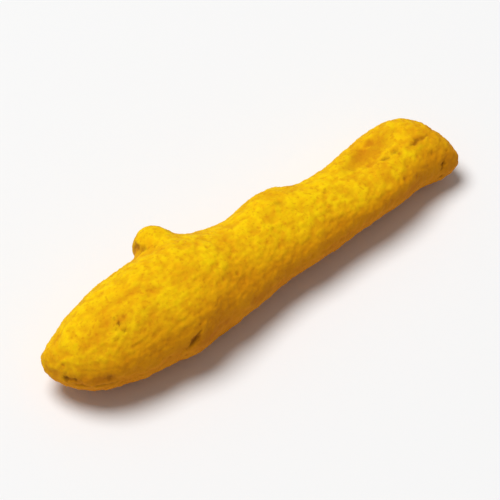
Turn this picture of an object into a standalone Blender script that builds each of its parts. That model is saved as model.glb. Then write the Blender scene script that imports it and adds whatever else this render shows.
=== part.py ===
"""A dried turmeric finger, lying down: one knobbly rhizome with a small side bud, grown as one piece.

Metres, +Z up. The finger runs along X, from its blunt lower end at -X to its head at +X, and rests on z = 0
on its belly and its head, with the middle of its plan at the origin. Angles around it start at its +Y side
and turn upwards: 90 degrees is its top, 180 its -Y side and 270 its underside.
"""

import math
from collections import namedtuple

import bmesh
import bpy
from mathutils import Vector, noise

MM = 0.001

# Driving dimensions
LENGTH = 75.6 * MM  # from end to end
BELLY_BREADTH = 17.6 * MM  # the thickest part, a third of the way along
BELLY_HEIGHT = 16.6 * MM
NECK_BREADTH = 11.9 * MM  # the thin part before the head
NECK_HEIGHT = 10.8 * MM
HEAD_BREADTH = 12.3 * MM  # the swollen end
HEAD_HEIGHT = 11.5 * MM
HEAD_SIDE = 4.7 * MM  # how far the finger bends towards +Y on its way to the head
FLAT = 0.45 * MM  # depth worn flat where belly and head lie on the floor
BUD_WIDTH = 6.2 * MM  # the side bud
BUD_REACH = 5.2 * MM  # from its root, inside the finger, to its tip
BUD_LEAN = 34.0  # degrees that it leans back towards the blunt end
BUD_ROOT_DEPTH = 1.5 * MM  # how far under the skin it starts
LUMP_RISE = 0.3 * MM  # the finger's slight overall unevenness
LUMP_SPACING = 9.0 * MM

# Mesh
RINGS = 64
POINTS_ROUND = 48
BUD_RINGS = 12
FACET = 1.0 * MM  # size of the fused surface's faces
SMOOTHING_PASSES = 3

# A cross-section: how far along the finger as a share of its length, its breadth and height, how far its
# centre lies towards +Y, and how far it lies above the straight line from the belly's centre to the head's.
Section = namedtuple("Section", "share breadth height side rise")
BELLY = Section(0.33, BELLY_BREADTH, BELLY_HEIGHT, 0.4 * MM, 0)
NECK = Section(0.73, NECK_BREADTH, NECK_HEIGHT, HEAD_SIDE / 2, 0.2 * MM)
HEAD = Section(0.87, HEAD_BREADTH, HEAD_HEIGHT, HEAD_SIDE, 0)
SECTIONS = (
    Section(0.00, 0, 0, 1.7 * MM, -2.4 * MM),
    Section(0.03, 7.5 * MM, 7.1 * MM, 0.1 * MM, -2.3 * MM),
    Section(0.10, 13.6 * MM, 12.6 * MM, -0.6 * MM, -1.7 * MM),
    Section(0.20, 16.3 * MM, 15.3 * MM, 0, -0.9 * MM),
    BELLY,
    Section(0.40, 16.0 * MM, 15.0 * MM, 0.6 * MM, -0.3 * MM),
    Section(0.47, 14.1 * MM, 13.2 * MM, 0.9 * MM, -0.3 * MM),
    Section(0.60, 12.4 * MM, 11.4 * MM, 1.7 * MM, -0.1 * MM),
    NECK,
    HEAD,
    Section(0.93, 11.6 * MM, 10.9 * MM, 4.8 * MM, 0),
    Section(0.97, 9.2 * MM, 8.6 * MM, 3.7 * MM, 0),
    Section(1.00, 0, 0, 1.0 * MM, 0),
)

# A place where the skin stands proud (rise over 0) or is sunk: how far along as a share of the length, the
# angle around, its rise, and its half-width along and around the finger.
Swelling = namedtuple("Swelling", "share around rise along across")
SWELLINGS = (
    Swelling(0.580, 36, 1.9 * MM, 2.9 * MM, 3.6 * MM),  # the old shoot's hump
    Swelling(0.455, 40, -0.45 * MM, 3.2 * MM, 4.0 * MM),  # the saddle before it
    Swelling(0.630, 150, 0.55 * MM, 3.2 * MM, 3.8 * MM),  # where the body ends, before the neck
    Swelling(0.725, 168, -0.3 * MM, 2.2 * MM, 3.4 * MM),  # the notch after it
    Swelling(0.830, 44, 0.3 * MM, 5.0 * MM, 1.7 * MM),  # the head's far rim, flute, top and front
    Swelling(0.820, 76, -1.8 * MM, 4.4 * MM, 1.9 * MM),
    Swelling(0.815, 115, 0.4 * MM, 4.5 * MM, 1.8 * MM),
    Swelling(0.815, 150, 1.3 * MM, 5.2 * MM, 2.0 * MM),
    Swelling(0.905, 206, -0.35 * MM, 1.7 * MM, 2.6 * MM),  # the notch under the head's end, then its corner
    Swelling(0.955, 206, 0.3 * MM, 1.7 * MM, 2.2 * MM),
    Swelling(0.190, 204, 0.3 * MM, 2.6 * MM, 3.0 * MM),  # under the belly, then two dips and two folds
    Swelling(0.240, 196, -0.3 * MM, 1.8 * MM, 3.0 * MM),
    Swelling(0.295, 192, 0.4 * MM, 2.2 * MM, 2.8 * MM),
    Swelling(0.365, 188, -0.45 * MM, 1.9 * MM, 3.2 * MM),
    Swelling(0.425, 176, 0.35 * MM, 2.6 * MM, 2.6 * MM),
    Swelling(0.130, 318, 0.5 * MM, 4.0 * MM, 3.4 * MM),  # lumps and dips on the side away from the bud's top
    Swelling(0.265, 345, -0.5 * MM, 3.4 * MM, 2.8 * MM),
    Swelling(0.455, 338, 0.8 * MM, 3.4 * MM, 3.0 * MM),
    Swelling(0.655, 350, -0.45 * MM, 3.0 * MM, 2.6 * MM),
    Swelling(0.840, 335, 0.5 * MM, 3.0 * MM, 2.6 * MM),
    Swelling(0.500, 262, -0.5 * MM, 4.0 * MM, 3.0 * MM),
)

BUD_SHARE = 0.347
BUD_AROUND = 20


def between(along, key):
    """A quantity's value part-way along the finger, on a smooth curve through the sections."""
    shares = [section.share for section in SECTIONS]
    values = [key(section) for section in SECTIONS]
    slopes = []
    for i in range(len(shares)):
        before, after = max(i - 1, 0), min(i + 1, len(shares) - 1)
        slopes.append((values[after] - values[before]) / (shares[after] - shares[before]))
    share = min(max(along / LENGTH, 0), 1)
    i = max(i for i in range(len(shares) - 1) if shares[i] <= share)
    span = shares[i + 1] - shares[i]
    t = (share - shares[i]) / span
    rest = 1 - t
    return (
        values[i] * rest * rest * (1 + 2 * t)
        + values[i + 1] * t * t * (3 - 2 * t)
        + span * t * rest * (slopes[i] * rest - slopes[i + 1] * t)
    )


def half_sizes(along):
    """Half the breadth and half the height. Their squares run smoothly, so that both ends come out round."""
    breadth = math.sqrt(max(between(along, lambda section: section.breadth**2), 0)) / 2
    height = math.sqrt(max(between(along, lambda section: section.height**2), 0)) / 2
    return breadth, height


def centre(along):
    """The middle of the cross-section. Belly and head both reach FLAT below the floor, to be worn flat."""
    belly_lift = BELLY.height / 2 - FLAT
    head_lift = HEAD.height / 2 - FLAT
    slope = (head_lift - belly_lift) / (HEAD.share - BELLY.share)
    straight = belly_lift + slope * (along / LENGTH - BELLY.share)
    side = between(along, lambda section: section.side)
    return Vector((along, side, straight + between(along, lambda section: section.rise)))


def outward(around):
    return Vector((0, math.cos(around), math.sin(around)))


def swelling_rise(along, around, radius):
    """How far the swellings together lift the skin at this place."""
    rise = 0
    for swelling in SWELLINGS:
        turn = around - math.radians(swelling.around)
        across = radius * math.atan2(math.sin(turn), math.cos(turn)) / swelling.across
        away = (along - swelling.share * LENGTH) / swelling.along
        rise += swelling.rise * math.exp(-(away**2 + across**2) / 2)
    return rise


def skin(along, around):
    """The point of the finger's surface at this distance along it and angle around it."""
    half_breadth, half_height = half_sizes(along)
    plain = centre(along) + Vector((0, half_breadth * math.cos(around), half_height * math.sin(around)))
    radius = (half_breadth + half_height) / 2
    lumps = LUMP_RISE * noise.noise(plain / LUMP_SPACING)
    fade = min(radius / (HEAD.breadth / 4), 1)  # nothing lifts the two end points themselves
    return plain + outward(around) * fade * (lumps + swelling_rise(along, around, radius))


def loft(name, first, rings, last):
    """One closed mesh through rings of points, from the first end's point to the last one's."""
    shape = bmesh.new()
    start = shape.verts.new(first)
    loops = [[shape.verts.new(point) for point in ring] for ring in rings]
    end = shape.verts.new(last)
    count = len(loops[0])
    for i in range(count):
        j = (i + 1) % count
        shape.faces.new((start, loops[0][i], loops[0][j]))
        for near, far in zip(loops, loops[1:]):
            shape.faces.new((near[j], near[i], far[i], far[j]))
        shape.faces.new((end, loops[-1][j], loops[-1][i]))
    bmesh.ops.recalc_face_normals(shape, faces=shape.faces)
    mesh = bpy.data.meshes.new(name)
    shape.to_mesh(mesh)
    shape.free()
    made = bpy.data.objects.new(name, mesh)
    bpy.context.scene.collection.objects.link(made)
    return made


def helper(made):
    """Marks an object as a tool that shapes the finger and isn't part of it."""
    made.hide_render = True
    made.display_type = "WIRE"
    return made


def turns(count):
    return [2 * math.pi * i / count for i in range(count)]


def body():
    """The finger without its bud. Its rings stand closer together towards the round ends."""
    alongs = [LENGTH * (1 - math.cos(math.pi * i / RINGS)) / 2 for i in range(RINGS + 1)]
    rings = [[skin(along, around) for around in turns(POINTS_ROUND)] for along in alongs[1:-1]]
    return loft("turmeric_root", centre(0), rings, centre(LENGTH))


def bud():
    """The side bud: a stub with a round tip, from a root just under the skin."""
    around = math.radians(BUD_AROUND)
    along = BUD_SHARE * LENGTH
    away = outward(around)
    lean = math.radians(BUD_LEAN)
    root = skin(along, around) - away * BUD_ROOT_DEPTH
    axis = away * math.cos(lean) - Vector((1, 0, 0)) * math.sin(lean)
    side = Vector((0, -away.z, away.y))
    other = axis.cross(side)
    radius = BUD_WIDTH / 2
    foot = root - axis * radius
    tip = root + axis * BUD_REACH
    span = (tip - foot).length
    rings = []
    for i in range(1, BUD_RINGS):
        travel = span * (1 - math.cos(math.pi * i / BUD_RINGS)) / 2
        to_end = min(travel, span - travel, radius)
        girth = math.sqrt(radius**2 - (radius - to_end) ** 2)
        middle = foot + axis * travel
        spokes = [side * math.cos(turn) + other * math.sin(turn) for turn in turns(POINTS_ROUND // 2)]
        rings.append([middle + spoke * girth for spoke in spokes])
    return helper(loft("bud_tool", foot, rings, tip))


def floor_slab():
    """What lies under the floor, to cut the worn flats."""
    size = 4 * LENGTH
    bpy.ops.mesh.primitive_cube_add(size=size, location=(0, 0, -size / 2))
    slab = bpy.context.object
    slab.name = "floor_tool"
    return helper(slab)


def boolean(made, tool, operation):
    step = made.modifiers.new(tool.name, "BOOLEAN")
    step.operation = operation
    step.object = tool
    step.solver = "EXACT"


def fuse(made):
    """Makes body and bud one skin with a soft crease between them."""
    remesh = made.modifiers.new("one_skin", "REMESH")
    remesh.mode = "VOXEL"
    remesh.voxel_size = FACET
    remesh.use_smooth_shade = True
    smooth = made.modifiers.new("soft", "SMOOTH")
    smooth.factor = 0.5
    smooth.iterations = SMOOTHING_PASSES


def turmeric():
    """Dried, polished rhizome skin, matt with its own powder."""
    material = bpy.data.materials.new("turmeric")
    material.use_nodes = True
    surface = material.node_tree.nodes["Principled BSDF"]
    surface.inputs["Base Color"].default_value = (0.78, 0.36, 0.006, 1)
    surface.inputs["Roughness"].default_value = 0.85
    surface.inputs["Metallic"].default_value = 0
    return material


def centre_plan(made):
    """Moves the finger so that the middle of its plan is the origin."""
    bpy.context.view_layer.update()
    evaluated = made.evaluated_get(bpy.context.evaluated_depsgraph_get())
    corners = [evaluated.matrix_world @ Vector(corner) for corner in evaluated.bound_box]
    for axis in (0, 1):
        values = [corner[axis] for corner in corners]
        made.location[axis] -= (min(values) + max(values)) / 2


for old in list(bpy.data.objects):
    bpy.data.objects.remove(old)

finger = body()
finger.data.materials.append(turmeric())
side_bud = bud()
side_bud.parent = finger
boolean(finger, side_bud, "UNION")
fuse(finger)
boolean(finger, floor_slab(), "DIFFERENCE")
centre_plan(finger)
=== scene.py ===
"""A dried and polished turmeric finger on a plain pale floor. Metres, +Z up; the finger runs along X."""

import math

import bmesh
import bpy
import numpy as np
from mathutils import Matrix, Vector, noise
from mathutils.bvhtree import BVHTree


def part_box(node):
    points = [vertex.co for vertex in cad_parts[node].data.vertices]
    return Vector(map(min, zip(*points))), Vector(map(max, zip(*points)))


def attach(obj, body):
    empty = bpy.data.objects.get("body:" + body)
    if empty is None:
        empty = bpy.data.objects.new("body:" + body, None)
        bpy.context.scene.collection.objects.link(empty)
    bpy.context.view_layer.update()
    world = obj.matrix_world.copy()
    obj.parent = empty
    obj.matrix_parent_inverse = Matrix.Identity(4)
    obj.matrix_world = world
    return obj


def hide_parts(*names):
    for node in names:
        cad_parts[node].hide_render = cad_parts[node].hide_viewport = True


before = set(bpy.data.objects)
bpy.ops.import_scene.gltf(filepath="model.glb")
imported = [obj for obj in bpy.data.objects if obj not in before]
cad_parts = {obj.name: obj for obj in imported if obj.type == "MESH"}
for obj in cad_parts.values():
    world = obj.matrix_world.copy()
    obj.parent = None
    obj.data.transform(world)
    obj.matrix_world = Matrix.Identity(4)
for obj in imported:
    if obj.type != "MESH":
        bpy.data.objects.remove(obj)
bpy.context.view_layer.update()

# ---- The rhizome's flesh -------------------------------------------------------------------------
# A finger of turmeric is one swollen underground stem. Such fingers are boiled, dried until they are hard,
# and tumbled in a drum that rubs their scales and rootlets off, so the form is soft, with no sharp edge.

MM = 0.001
PAIR_FLATNESS = math.radians(40)  # two triangles make a quad if they bend less than this between them
PAIR_SQUARENESS = math.radians(60)  # and if its corners are this near to square
FORM_SUBDIVISIONS = 2
SKIN_STEP = 0.22 * MM  # distance between the points of the finished skin
FORM_SMOOTHING = 6

low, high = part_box("turmeric_root")
length = high.x - low.x


def finished(made, name):
    """The object as its modifiers shape it, as a plain mesh object that stands in for it."""
    evaluated = made.evaluated_get(bpy.context.evaluated_depsgraph_get())
    mesh = bpy.data.meshes.new_from_object(evaluated)
    mesh.name = name
    bpy.data.objects.remove(made)
    plain = bpy.data.objects.new(name, mesh)
    bpy.context.scene.collection.objects.link(plain)
    return plain


def joined_copy(node, name):
    """A copy of a CAD node, its loose triangles joined and paired into quads where they are flat enough."""
    shape = bmesh.new()
    shape.from_mesh(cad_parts[node].data)
    bmesh.ops.remove_doubles(shape, verts=shape.verts, dist=0.001 * MM)
    bmesh.ops.join_triangles(
        shape, faces=shape.faces,
        angle_face_threshold=PAIR_FLATNESS, angle_shape_threshold=PAIR_SQUARENESS,
    )
    mesh = bpy.data.meshes.new(name)
    shape.to_mesh(mesh)
    shape.free()
    mesh.materials.clear()
    made = bpy.data.objects.new(name, mesh)
    bpy.context.scene.collection.objects.link(made)
    return made


flesh = joined_copy("turmeric_root", "flesh")

# ---- The side bud --------------------------------------------------------------------------------
# A side shoot that had only begun to grow. It is a round nub with its own skin drawn tight over it, grown
# from the finger's far side, and it hangs back towards the blunt end over a crease.

NUB_LENGTH = 5.8 * MM
NUB_WIDTH = 5.6 * MM
NUB_THICKNESS = 5.2 * MM
NUB_HANG = 0.6 * MM


def add_nub(made):
    """Joins the nub to the flesh, its far side at the outermost point of the bud."""
    corners = [vertex.co for vertex in made.data.vertices]
    middle = sum(corners, Vector()) / len(corners)
    tip = max((co for co in corners if co.x < middle.x), key=lambda co: co.y).copy()
    inward = Vector((0, middle.y - tip.y, middle.z - tip.z)).normalized()
    place = Matrix.Translation(tip + inward * NUB_THICKNESS / 2 - Vector((NUB_HANG, 0, 0)))
    turn = inward.to_track_quat("Z", "X").to_matrix().to_4x4()
    size = Matrix.Diagonal((NUB_LENGTH / 2, NUB_WIDTH / 2, NUB_THICKNESS / 2, 1))
    shape = bmesh.new()
    shape.from_mesh(made.data)
    bmesh.ops.create_icosphere(shape, subdivisions=3, radius=1.0, matrix=place @ turn @ size)
    shape.to_mesh(made.data)
    shape.free()


add_nub(flesh)
rounding = flesh.modifiers.new("rounding", "SUBSURF")
rounding.levels = FORM_SUBDIVISIONS
rounding.render_levels = FORM_SUBDIVISIONS
even = flesh.modifiers.new("even", "REMESH")
even.mode = "VOXEL"
even.voxel_size = SKIN_STEP
even.use_smooth_shade = True
soft = flesh.modifiers.new("soft", "SMOOTH")
soft.factor = 0.5
soft.iterations = FORM_SMOOTHING
flesh = finished(flesh, "turmeric_finger")

# ---- Scars and stains ----------------------------------------------------------------------------
# Scars are where rootlets, scales and side shoots broke off, and where the flesh shrank and split as it
# dried; their brown is darker where they are deeper, which is partly painted shade in creases and pits.
# Stains are places where the skin is darker; some of them are painted shade in creases and hollows. Each is
# a line over the skin, with a width.

LINE_STEP = 0.3 * MM
LINE_SEED = 7
LINE_WANDER = 0.3 * MM
WANDER_WIDTH = 1.2 * MM  # how far along a line one of its bends is
MIDDLE_BENDS = 5  # degree of the smooth curve that the finger's middle line is

# Where a line starts: how far along from the blunt end (mm) and the angle around (degrees, from +Y through
# the top). Where it ends, in the same way. Then its width and its depth (mm).
SCARS = (
    (11.0, 101, 11.2, 102, 0.55, 0.20),  # pit cluster on the belly's top
    (11.1, 110, 11.5, 112, 0.75, 0.38),
    (11.3, 120, 11.7, 122, 0.60, 0.28),
    (12.4, 106, 12.7, 107, 0.40, 0.12),
    (10.4, 115, 10.7, 116, 0.40, 0.12),
    (1.3, 171, 1.9, 169, 0.85, 0.40),  # rootlet scars at the blunt end
    (2.4, 168, 2.9, 168, 0.70, 0.30),
    (6.4, 168, 7.4, 167, 0.95, 0.22),
    (2.4, 187, 4.4, 185, 0.45, 0.18),  # the split under them
    (4.4, 185, 7.8, 181, 0.50, 0.20),
    (19.8, 179, 22.3, 167, 0.75, 0.40),  # the fold low on the belly
    (16.2, 80, 17.6, 86, 0.40, 0.06),  # the arc of a scale on the belly
    (17.6, 86, 17.9, 95, 0.40, 0.06),
    (22.1, 10, 22.0, 30, 0.70, 0.22),  # the crease under the bud, and the pit beside it
    (22.0, 30, 22.8, 39, 0.80, 0.25),
    (23.6, 44, 23.9, 45, 0.60, 0.22),
    (43.0, 70, 45.0, 70, 0.60, 0.14),  # on the old shoot's hump
    (42.8, 80, 43.8, 82, 0.60, 0.10),
    (51.2, 88, 51.9, 94, 0.55, 0.16),
    (30.7, 72, 31.2, 84, 0.45, 0.06),
    (63.2, 104, 63.5, 101, 0.90, 0.30),  # the furrow along the head's top
    (64.7, 103, 65.8, 101, 0.90, 0.28),
    (67.9, 110, 71.8, 100, 0.45, 0.34),
    (70.3, 133, 70.8, 135, 0.90, 0.12),  # rootlet scars on the head's end
    (71.6, 161, 72.0, 163, 0.85, 0.30),
    (71.0, 190, 71.6, 192, 0.85, 0.30),
    (73.0, 139, 73.4, 142, 0.50, 0.14),
    (72.6, 118, 73.0, 122, 0.50, 0.14),
    (18.0, 262, 23.5, 252, 0.75, 0.30),  # the side away from the camera, and underneath
    (36.0, 300, 40.2, 309, 0.70, 0.26),
    (57.4, 236, 60.8, 228, 0.65, 0.26),
    (66.0, 318, 66.8, 322, 0.80, 0.38),
    (9.0, 330, 9.9, 333, 0.80, 0.38),
    (10.8, 322, 11.3, 323, 0.60, 0.28),
    (47.2, 215, 48.0, 218, 0.70, 0.34),
    (29.0, 350, 32.0, 343, 0.65, 0.20),
    (53.0, 10, 54.0, 14, 0.70, 0.30),
)

# The same places, then the stain's reach (mm) and its strength.
STAINS = (
    (10.6, 103, 12.0, 120, 2.0, 0.55),  # around the belly's pit cluster
    (1.6, 169, 8.0, 168, 2.0, 0.85),  # the blunt end's scars
    (1.5, 150, 9.0, 156, 3.2, 0.50),
    (8.0, 132, 20.0, 132, 4.0, 0.30),
    (20.5, 181, 26.0, 183, 2.8, 0.85),  # around the fold: partly painted shade in the crease, partly stain
    (27.0, 182, 28.0, 183, 1.0, 1.00),
    (33.0, 178, 36.0, 180, 1.8, 0.60),
    (21.9, 2, 21.9, 30, 1.3, 1.00),  # the bud's side, above its crease: painted shade in the crease, and stain
    (56.5, 70, 67.0, 58, 2.8, 0.90),  # painted shade in the hollow in the head, and a rusty spot high in it
    (62.8, 50, 64.2, 53, 1.1, 1.00),
    (67.5, 108, 70.5, 102, 1.4, 0.60),
    (73.0, 60, 72.5, 200, 2.2, 0.50),  # the broken end
    (62.0, 168, 67.0, 176, 1.6, 0.45),
    (43.0, 74, 45.0, 74, 1.4, 0.45),
    (14.0, 250, 24.0, 255, 2.4, 0.50),  # underneath and at the back
    (36.0, 305, 41.0, 309, 2.0, 0.50),
    (57.0, 300, 62.0, 290, 2.2, 0.40),
    (9.4, 330, 11.0, 323, 1.8, 0.60),
)

points = np.empty(len(flesh.data.vertices) * 3)
flesh.data.vertices.foreach_get("co", points)
points = points.reshape(-1, 3)
middle_y = np.polynomial.Polynomial.fit(points[:, 0], points[:, 1], MIDDLE_BENDS)
middle_z = np.polynomial.Polynomial.fit(points[:, 0], points[:, 2], MIDDLE_BENDS)
surface = BVHTree.FromObject(flesh, bpy.context.evaluated_depsgraph_get())


def skin_place(along, around):
    """The point of the skin at this distance from the blunt end and angle around the middle line."""
    x = low.x + along
    out = Vector((0, math.cos(around), math.sin(around)))
    start = Vector((x, middle_y(x), middle_z(x))) + out * length
    return surface.ray_cast(start, -out)[0]


def skin_lines(name, rows):
    """The lines as one object of loose edges on the skin. Each point carries its line's width and amount."""
    places, edges, widths, amounts = [], [], [], []
    for along, around, far_along, far_around, width, amount in rows:
        start = skin_place(along * MM, math.radians(around))
        end = skin_place(far_along * MM, math.radians(far_around))
        steps = max(2, round((end - start).length / LINE_STEP))
        for i in range(steps + 1):
            share = i / steps
            place = skin_place(
                (along + (far_along - along) * share) * MM,
                math.radians(around + (far_around - around) * share),
            )
            place += noise.noise_vector(place / WANDER_WIDTH) * LINE_WANDER
            if i:
                edges.append((len(places) - 1, len(places)))
            taper = 0.5 + 0.5 * math.sin(math.pi * share)
            places.append(place)
            widths.append(width * MM * taper)
            amounts.append(amount * taper)
    mesh = bpy.data.meshes.new(name)
    mesh.from_pydata(places, edges, [])
    mesh.attributes.new("width", "FLOAT", "POINT").data.foreach_set("value", widths)
    mesh.attributes.new("amount", "FLOAT", "POINT").data.foreach_set("value", amounts)
    made = bpy.data.objects.new(name, mesh)
    bpy.context.scene.collection.objects.link(made)
    return made


noise.seed_set(LINE_SEED)  # unseeded, the lines would wander differently each time
scars = skin_lines("scar_lines", SCARS)
stains = skin_lines("stain_lines", STAINS)

# ---- The skin ------------------------------------------------------------------------------------
# Cork skin, thin and matt. Drying draws it into shallow lengthwise wrinkles between the faint rings where
# each leaf scale grew, and leaves it pebbled and peppered with pores. The drum rubs powder into all of it.

# The grain follows the rhizome's growth: each point's distance from the blunt end, and its offset across
# from the middle line.
middle = np.stack([np.full(len(points), low.x), middle_y(points[:, 0]), middle_z(points[:, 0])], axis=1)
growth = points - middle
flesh.data.attributes.new("growth", "FLOAT_VECTOR", "POINT").data.foreach_set("vector", growth.ravel())

# The skin is painted with light and shade: yellower on the upper far side, towards the key light, and deeper
# orange on the lower near side, turned from it. The tint is fixed to the skin, whatever the camera and the
# light do.
PAINTED_LIGHT_AZIMUTH = math.radians(215)
PAINTED_LIGHT_ELEVATION = math.radians(50)

RING_SWAY = 5 * MM  # how far a ring leans along the finger
MOST_PORES = 2.0e5  # per square metre, before those too near to another are left out
FLOOR_GAP = 0.02 * MM  # the lowest that the relief may reach, just over the floor


def toward(azimuth, elevation):
    """The direction from the finger to a place at this azimuth, where 0 is on the -Y side, and elevation."""
    flat = math.cos(elevation)
    return Vector((math.sin(azimuth) * flat, -math.cos(azimuth) * flat, math.sin(elevation)))


def add_node(tree, kind, inputs=None, **settings):
    """Adds a node with its settings. An input is given by name or number, as a value, socket or node."""
    made = tree.nodes.new(kind)
    for name, value in settings.items():
        setattr(made, name, value)
    for name, value in (inputs or {}).items():
        if isinstance(value, bpy.types.Node):
            value = value.outputs[0]
        if isinstance(value, bpy.types.NodeSocket):
            tree.links.new(value, made.inputs[name])
        else:
            made.inputs[name].default_value = value
    return made


def rhizome_skin():
    """Geometry Nodes that sink the skin into its relief, and keep each mark's strength for the colours."""
    tree = bpy.data.node_groups.new("rhizome_skin", "GeometryNodeTree")
    tree.interface.new_socket("Geometry", in_out="OUTPUT", socket_type="NodeSocketGeometry")
    for kind, names in (
        ("Geometry", ("Geometry",)),
        ("Object", ("Scars", "Stains")),
        ("Material", ("Skin",)),
        ("Int", ("Pore Seed",)),
        ("Float", ("Skin Lift", "Lump Depth", "Lump Width", "Pebble Depth", "Pebble Width")),
        ("Float", ("Grain Depth", "Grain Width")),
        ("Float", ("Wrinkle Depth", "Wrinkle Width", "Wrinkle Length", "Ring Depth", "Ring Spacing")),
        ("Float", ("Pore Spacing", "Pore Width", "Pore Depth")),
    ):
        for name in names:
            tree.interface.new_socket(name, in_out="INPUT", socket_type="NodeSocket" + kind)
    inputs = add_node(tree, "NodeGroupInput").outputs
    place = add_node(tree, "GeometryNodeInputPosition")
    grown = add_node(tree, "GeometryNodeInputNamedAttribute", {"Name": "growth"}, data_type="FLOAT_VECTOR")

    # Uneven fields, each from 0 to 1: how wide one of its patches is, how finely it breaks up, and which of
    # the noise's own values become 0 and 1.
    fields = {}
    for name, width, detail, least, most in (
        ("lump", inputs["Lump Width"], 1.5, 0.25, 0.75),
        ("pebble", inputs["Pebble Width"], 2.0, 0.3, 0.7),
        ("grain", inputs["Grain Width"], 2.0, 0.3, 0.7),
        ("wrinkled", 7 * MM, 1.0, 0.42, 0.62),
        ("ringed", 4.5 * MM, 1.0, 0.45, 0.6),
        ("sway", 6 * MM, 2.0, 0.0, 1.0),
        ("ragged", 0.8 * MM, 2.0, 0.3, 0.7),
    ):
        scale = add_node(tree, "ShaderNodeMath", {0: 1.0, 1: width}, operation="DIVIDE")
        texture = add_node(tree, "ShaderNodeTexNoise", {"Vector": place, "Scale": scale, "Detail": detail})
        fields[name] = add_node(
            tree, "ShaderNodeMapRange", {"Value": texture, "From Min": least, "From Max": most},
            interpolation_type="SMOOTHSTEP",
        )

    # Wrinkles: valleys where a field drawn out along the finger crosses its middle value.
    stretch = add_node(
        tree, "ShaderNodeMath", {0: inputs["Wrinkle Width"], 1: inputs["Wrinkle Length"]}, operation="DIVIDE"
    )
    stretch = add_node(tree, "ShaderNodeCombineXYZ", {"X": stretch, "Y": 1.0, "Z": 1.0})
    drawn = add_node(
        tree, "ShaderNodeVectorMath", {0: grown.outputs["Attribute"], 1: stretch}, operation="MULTIPLY"
    )
    scale = add_node(tree, "ShaderNodeMath", {0: 0.5, 1: inputs["Wrinkle Width"]}, operation="DIVIDE")
    wrinkle = add_node(
        tree, "ShaderNodeTexNoise", {"Vector": drawn, "Scale": scale, "Detail": 2.0, "Distortion": 0.4}
    )
    wrinkle = add_node(tree, "ShaderNodeMath", {0: wrinkle, 1: 0.5}, operation="SUBTRACT")
    wrinkle = add_node(tree, "ShaderNodeMath", {0: wrinkle}, operation="ABSOLUTE")
    wrinkle = add_node(
        tree, "ShaderNodeMapRange", {"Value": wrinkle, "From Max": 0.15, "To Min": 1.0, "To Max": 0.0},
        interpolation_type="SMOOTHSTEP",
    )
    wrinkle = add_node(tree, "ShaderNodeMath", {0: wrinkle, 1: fields["wrinkled"]}, operation="MULTIPLY")

    # Rings: faint, swaying and broken, one for each old leaf scale.
    along = add_node(tree, "ShaderNodeSeparateXYZ", {0: grown.outputs["Attribute"]})
    ring = add_node(
        tree, "ShaderNodeMath", {0: fields["sway"], 1: RING_SWAY, 2: along.outputs["X"]},
        operation="MULTIPLY_ADD",
    )
    ring = add_node(tree, "ShaderNodeMath", {0: ring, 1: inputs["Ring Spacing"]}, operation="DIVIDE")
    ring = add_node(tree, "ShaderNodeMath", {0: ring, 1: 1.0}, operation="PINGPONG")
    ring = add_node(
        tree, "ShaderNodeMapRange", {"Value": ring, "From Max": 0.12, "To Min": 1.0, "To Max": 0.0},
        interpolation_type="SMOOTHSTEP",
    )
    ring = add_node(tree, "ShaderNodeMath", {0: ring, 1: fields["ringed"]}, operation="MULTIPLY")

    # Distances from marks have ragged edges: they are stretched and shrunk a little from place to place.
    ragged = add_node(tree, "ShaderNodeMapRange", {"Value": fields["ragged"], "To Min": 0.6, "To Max": 1.5})

    # Pores: small hollows scattered over the skin, each with a size of its own. Most are small.
    scattered = add_node(
        tree, "GeometryNodeDistributePointsOnFaces",
        {"Mesh": inputs["Geometry"], "Distance Min": inputs["Pore Spacing"], "Density Max": MOST_PORES,
         "Seed": inputs["Pore Seed"]},
        distribute_method="POISSON",
    ).outputs["Points"]
    own = add_node(tree, "FunctionNodeRandomValue", {"Seed": inputs["Pore Seed"]}, data_type="FLOAT")
    own = own.outputs[1]
    own = add_node(tree, "ShaderNodeMath", {0: own, 1: 3.0}, operation="POWER")
    own = add_node(tree, "ShaderNodeMapRange", {"Value": own, "To Min": 0.35, "To Max": 1.0})
    nearest = add_node(tree, "GeometryNodeSampleNearest", {"Geometry": scattered, "Sample Position": place})
    pore_place = add_node(
        tree, "GeometryNodeSampleIndex", {"Geometry": scattered, "Value": place, "Index": nearest},
        data_type="FLOAT_VECTOR",
    )
    pore_size = add_node(
        tree, "GeometryNodeSampleIndex", {"Geometry": scattered, "Value": own, "Index": nearest},
        data_type="FLOAT",
    )
    away = add_node(tree, "ShaderNodeVectorMath", {0: place, 1: pore_place}, operation="DISTANCE")
    away = away.outputs["Value"]
    for factor, operation in ((ragged, "MULTIPLY"), (pore_size, "DIVIDE"), (inputs["Pore Width"], "DIVIDE")):
        away = add_node(tree, "ShaderNodeMath", {0: away, 1: factor}, operation=operation)
    pore = add_node(
        tree, "ShaderNodeMapRange",
        {"Value": away, "From Min": 0.1, "From Max": 0.55, "To Min": 1.0, "To Max": 0.0},
        interpolation_type="SMOOTHSTEP",
    )
    pore = add_node(tree, "ShaderNodeMath", {0: pore, 1: pore_size}, operation="MULTIPLY")

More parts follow.
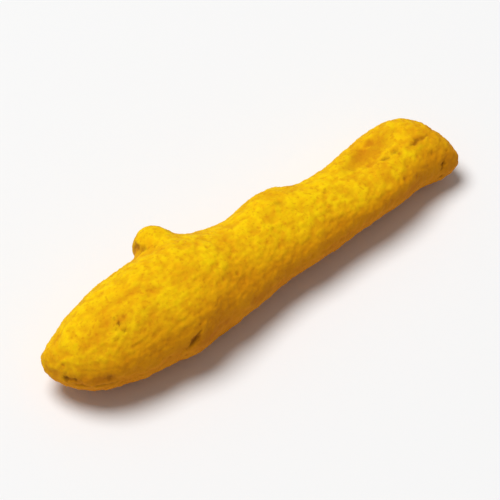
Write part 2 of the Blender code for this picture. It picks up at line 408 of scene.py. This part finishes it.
    # Scars and stains: how much of the nearest line is felt here, and that line's amount.
    felt, amounts = {}, {}
    for name in ("Scars", "Stains"):
        lines = add_node(tree, "GeometryNodeObjectInfo", {"Object": inputs[name]}).outputs["Geometry"]
        away = add_node(tree, "GeometryNodeProximity", {0: lines}, target_element="EDGES")
        away = away.outputs["Distance"]
        nearest = add_node(tree, "GeometryNodeSampleNearest", {"Geometry": lines, "Sample Position": place})
        sampled = {}
        for size in ("width", "amount"):
            value = add_node(tree, "GeometryNodeInputNamedAttribute", {"Name": size}, data_type="FLOAT")
            sampled[size] = add_node(
                tree, "GeometryNodeSampleIndex",
                {"Geometry": lines, "Value": value.outputs["Attribute"], "Index": nearest},
                data_type="FLOAT",
            )
        for factor, operation in ((ragged, "MULTIPLY"), (sampled["width"], "DIVIDE")):
            away = add_node(tree, "ShaderNodeMath", {0: away, 1: factor}, operation=operation)
        felt[name] = add_node(
            tree, "ShaderNodeMapRange", {"Value": away, "From Max": 1.2, "To Min": 1.0, "To Max": 0.0},
            interpolation_type="SMOOTHSTEP",
        )
        amounts[name] = sampled["amount"]
    stain = add_node(tree, "ShaderNodeMath", {0: felt["Stains"], 1: amounts["Stains"]}, operation="MULTIPLY")
    scar = add_node(tree, "ShaderNodeMath", {0: felt["Scars"], 1: amounts["Scars"]}, operation="MULTIPLY")

    # All the relief together, inwards along the skin's own direction, and never below the floor.
    sunk = add_node(tree, "ShaderNodeMath", {0: 0.0, 1: inputs["Skin Lift"]}, operation="SUBTRACT")
    for share, depth in (
        (fields["lump"], inputs["Lump Depth"]),
        (fields["pebble"], inputs["Pebble Depth"]),
        (fields["grain"], inputs["Grain Depth"]),
        (wrinkle, inputs["Wrinkle Depth"]),
        (ring, inputs["Ring Depth"]),
        (pore, inputs["Pore Depth"]),
        (scar, MM),
    ):
        sunk = add_node(tree, "ShaderNodeMath", {0: share, 1: depth, 2: sunk}, operation="MULTIPLY_ADD")
    normal = add_node(tree, "GeometryNodeInputNormal")
    inwards = add_node(tree, "ShaderNodeMath", {0: sunk, 1: -1.0}, operation="MULTIPLY")
    offset = add_node(tree, "ShaderNodeVectorMath", {0: normal, "Scale": inwards}, operation="SCALE")
    # Painted light and shade: how far each point of the skin faces the key light's direction.
    sunned = add_node(
        tree, "ShaderNodeVectorMath", {0: normal, 1: toward(PAINTED_LIGHT_AZIMUTH, PAINTED_LIGHT_ELEVATION)},
        operation="DOT_PRODUCT",
    )

    shape = inputs["Geometry"]
    for name, value in (
        ("sunned", sunned.outputs["Value"]),
        ("pebbles", fields["pebble"]),
        ("wrinkles", wrinkle),
        ("pores", pore),
        ("stains", stain),
        ("scars", scar),
    ):
        shape = add_node(
            tree, "GeometryNodeStoreNamedAttribute", {"Geometry": shape, "Name": name, "Value": value},
            data_type="FLOAT", domain="POINT",
        )
    shape = add_node(tree, "GeometryNodeSetPosition", {"Geometry": shape, "Offset": offset})
    now = add_node(tree, "ShaderNodeSeparateXYZ", {0: add_node(tree, "GeometryNodeInputPosition")})
    lifted = add_node(tree, "ShaderNodeMath", {0: now.outputs["Z"], 1: FLOOR_GAP}, operation="MAXIMUM")
    lifted = add_node(
        tree, "ShaderNodeCombineXYZ", {"X": now.outputs["X"], "Y": now.outputs["Y"], "Z": lifted}
    )
    shape = add_node(tree, "GeometryNodeSetPosition", {"Geometry": shape, "Position": lifted})
    shape = add_node(tree, "GeometryNodeRealizeInstances", {0: shape})
    shape = add_node(tree, "GeometryNodeSetMaterial", {"Geometry": shape, "Material": inputs["Skin"]})
    add_node(tree, "NodeGroupOutput", {0: shape})
    return tree


def srgb(hex_colour):
    """A hex colour, as a screen shows it, as the linear colour that a shader takes."""
    channels = [int(hex_colour[i:i + 2], 16) / 255 for i in (1, 3, 5)]
    linear = [c / 12.92 if c <= 0.04045 else ((c + 0.055) / 1.055) ** 2.4 for c in channels]
    return (*linear, 1)


POWDER_YELLOW = "#F5CB02"
SKIN_ORANGE = "#EA9C03"
DEEP_ORANGE = "#C67206"
RUST_ORANGE = "#B8640A"
PORE_BROWN = "#6E3C08"
GRIT_WIDTH = 0.35 * MM
GRIT_HEIGHT = 0.1 * MM


def polished_turmeric_skin():
    """Matt cork skin with its own powder rubbed in, and painted light and shade: yellow on the lit top,
    deeper orange below and in the hollows.
    """
    material = bpy.data.materials.new("polished_turmeric_skin")
    material.use_nodes = True
    tree = material.node_tree
    skin = tree.nodes["Principled BSDF"]
    place = add_node(tree, "ShaderNodeTexCoord").outputs["Object"]
    colour = srgb(POWDER_YELLOW)

    # Patches: how wide they are, how finely they break up, which of the noise's values start and end them,
    # how much they show, and their colour.
    for width, detail, least, most, share, tint in (
        (7 * MM, 3.0, 0.45, 0.7, 0.42, SKIN_ORANGE),
        (3 * MM, 3.0, 0.5, 0.7, 0.25, DEEP_ORANGE),
        (1.1 * MM, 3.0, 0.42, 0.62, 0.35, SKIN_ORANGE),
        (0.6 * MM, 2.0, 0.55, 0.72, 0.4, DEEP_ORANGE),
    ):
        texture = add_node(
            tree, "ShaderNodeTexNoise", {"Vector": place, "Scale": 1 / width, "Detail": detail}
        )
        patch = add_node(
            tree, "ShaderNodeMapRange",
            {"Value": texture, "From Min": least, "From Max": most, "To Max": share},
        )
        mix = add_node(tree, "ShaderNodeMix", {0: patch, 6: colour, 7: srgb(tint)}, data_type="RGBA")
        colour = mix.outputs[2]

    # What the relief and the painted light left on the skin: the value where its colour starts, where it is
    # full, how much shows. The first two rows are painted light and shade, set by how each point faces the
    # key light.
    for name, least, most, share, tint in (
        ("sunned", 0.52, -0.05, 0.95, SKIN_ORANGE),
        ("sunned", -0.1, -0.6, 0.5, DEEP_ORANGE),
        # Painted shade: the hollows of the pebbles, wrinkles and pores are deeper orange and rust, as shade
        # falls in them.
        ("pebbles", 0.3, 1.0, 0.3, DEEP_ORANGE),
        ("wrinkles", 0.0, 1.0, 0.25, DEEP_ORANGE),
        ("pores", 0.0, 1.0, 0.5, RUST_ORANGE),
        ("stains", 0.0, 1.0, 0.6, RUST_ORANGE),
        # Scars: brown scar tissue, darker where deeper, so partly painted shade in their creases and pits.
        ("scars", 0.0, 0.4, 0.8, PORE_BROWN),
    ):
        mark = add_node(tree, "ShaderNodeAttribute", attribute_name=name, attribute_type="GEOMETRY")
        patch = add_node(
            tree, "ShaderNodeMapRange",
            {"Value": mark.outputs["Fac"], "From Min": least, "From Max": most, "To Max": share},
        )
        mix = add_node(tree, "ShaderNodeMix", {0: patch, 6: colour, 7: srgb(tint)}, data_type="RGBA")
        colour = mix.outputs[2]
    tree.links.new(colour, skin.inputs["Base Color"])

    # The powder's own grit is too fine for the mesh, so it is bump, drawn coarse enough to show. Powder
    # scatters the light, so the skin is nearly dull.
    grit = add_node(tree, "ShaderNodeTexNoise", {"Vector": place, "Scale": 1 / GRIT_WIDTH, "Detail": 3.0})
    bump = add_node(tree, "ShaderNodeBump", {"Strength": 0.5, "Distance": GRIT_HEIGHT, "Height": grit})
    tree.links.new(bump.outputs[0], skin.inputs["Normal"])
    skin.inputs["Roughness"].default_value = 0.88
    skin.inputs["Specular IOR Level"].default_value = 0.12
    return material


relief = flesh.modifiers.new("relief", "NODES")
relief.node_group = rhizome_skin()
sizes = {
    "Scars": scars,
    "Stains": stains,
    "Skin": polished_turmeric_skin(),
    "Pore Seed": 7,
    "Skin Lift": 0.31 * MM,
    "Lump Depth": 0.35 * MM,
    "Lump Width": 7 * MM,
    "Pebble Depth": 0.17 * MM,
    "Pebble Width": 1.5 * MM,
    "Grain Depth": 0.10 * MM,
    "Grain Width": 0.7 * MM,
    "Wrinkle Depth": 0.06 * MM,
    "Wrinkle Width": 1.6 * MM,
    "Wrinkle Length": 7 * MM,
    "Ring Depth": 0.09 * MM,
    "Ring Spacing": 6.5 * MM,
    "Pore Spacing": 1.8 * MM,
    "Pore Width": 0.9 * MM,
    "Pore Depth": 0.12 * MM,
}
for socket in relief.node_group.interface.items_tree:
    if socket.in_out == "INPUT" and socket.name in sizes:
        relief[socket.identifier] = sizes[socket.name]
finger = finished(flesh, "turmeric_finger")
bpy.data.objects.remove(scars)
bpy.data.objects.remove(stains)

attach(finger, "root")
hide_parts("turmeric_root")

# ---- The floor -----------------------------------------------------------------------------------
# A plain pale sheet of studio paper, wide enough to reach the horizon at low angles.

FLOOR_HALF = 3.0
PAPER_WHITE = "#F0F0F0"

shape = bmesh.new()
bmesh.ops.create_grid(shape, x_segments=1, y_segments=1, size=FLOOR_HALF)
mesh = bpy.data.meshes.new("floor")
shape.to_mesh(mesh)
shape.free()
floor = bpy.data.objects.new("floor", mesh)
bpy.context.scene.collection.objects.link(floor)
paper = bpy.data.materials.new("matt_studio_paper")
paper.use_nodes = True
paper.node_tree.nodes["Principled BSDF"].inputs["Base Color"].default_value = srgb(PAPER_WHITE)
paper.node_tree.nodes["Principled BSDF"].inputs["Roughness"].default_value = 0.9
floor.data.materials.append(paper)

# ---- Camera and light ----------------------------------------------------------------------------
# Seen from above, from the -Y side and a little towards the blunt end, with a very long lens. One large soft
# light hangs high to the left and a little behind, and the pale room fills the shadows.

CAMERA_AZIMUTH = math.radians(-33.4)
CAMERA_ELEVATION = math.radians(55)
LENS = 600  # mm
VIEW_WIDTH = 76 * MM
KEY_AZIMUTH = math.radians(215)
KEY_ELEVATION = math.radians(73)
KEY_AWAY = 4.0
KEY_SIZE = 2.2
KEY_POWER = 152  # W
ROOM_LIGHT = 0.22
ROOM_BRIGHTNESS = 0.9  # as the camera sees it


def facing(place, target):
    """A matrix that puts something at place and points its -Z at target."""
    turn = (target - place).to_track_quat("-Z", "Y").to_matrix().to_4x4()
    return Matrix.Translation(place) @ turn


target = (low + high) / 2
camera = bpy.data.objects.new("camera", bpy.data.cameras.new("camera"))
camera.data.lens = LENS
distance = VIEW_WIDTH * LENS / camera.data.sensor_width
camera.matrix_world = facing(target + toward(CAMERA_AZIMUTH, CAMERA_ELEVATION) * distance, target)
camera.data.clip_start = 0.01
bpy.context.scene.collection.objects.link(camera)
bpy.context.scene.camera = camera

lamp = bpy.data.lights.new("key_softbox", "AREA")
lamp.shape = "DISK"
lamp.size = KEY_SIZE
lamp.energy = KEY_POWER
key = bpy.data.objects.new("key_softbox", lamp)
key.matrix_world = facing(target + toward(KEY_AZIMUTH, KEY_ELEVATION) * KEY_AWAY, target)
bpy.context.scene.collection.objects.link(key)

room = bpy.data.worlds.new("pale_room")
room.use_nodes = True
seen = add_node(room.node_tree, "ShaderNodeLightPath").outputs["Is Camera Ray"]
strength = add_node(
    room.node_tree, "ShaderNodeMapRange", {"Value": seen, "To Min": ROOM_LIGHT, "To Max": ROOM_BRIGHTNESS}
)
background = room.node_tree.nodes["Background"]
background.inputs["Color"].default_value = (1, 1, 1, 1)
room.node_tree.links.new(strength.outputs[0], background.inputs["Strength"])
bpy.context.scene.world = room
bpy.context.scene.view_settings.view_transform = "Standard"
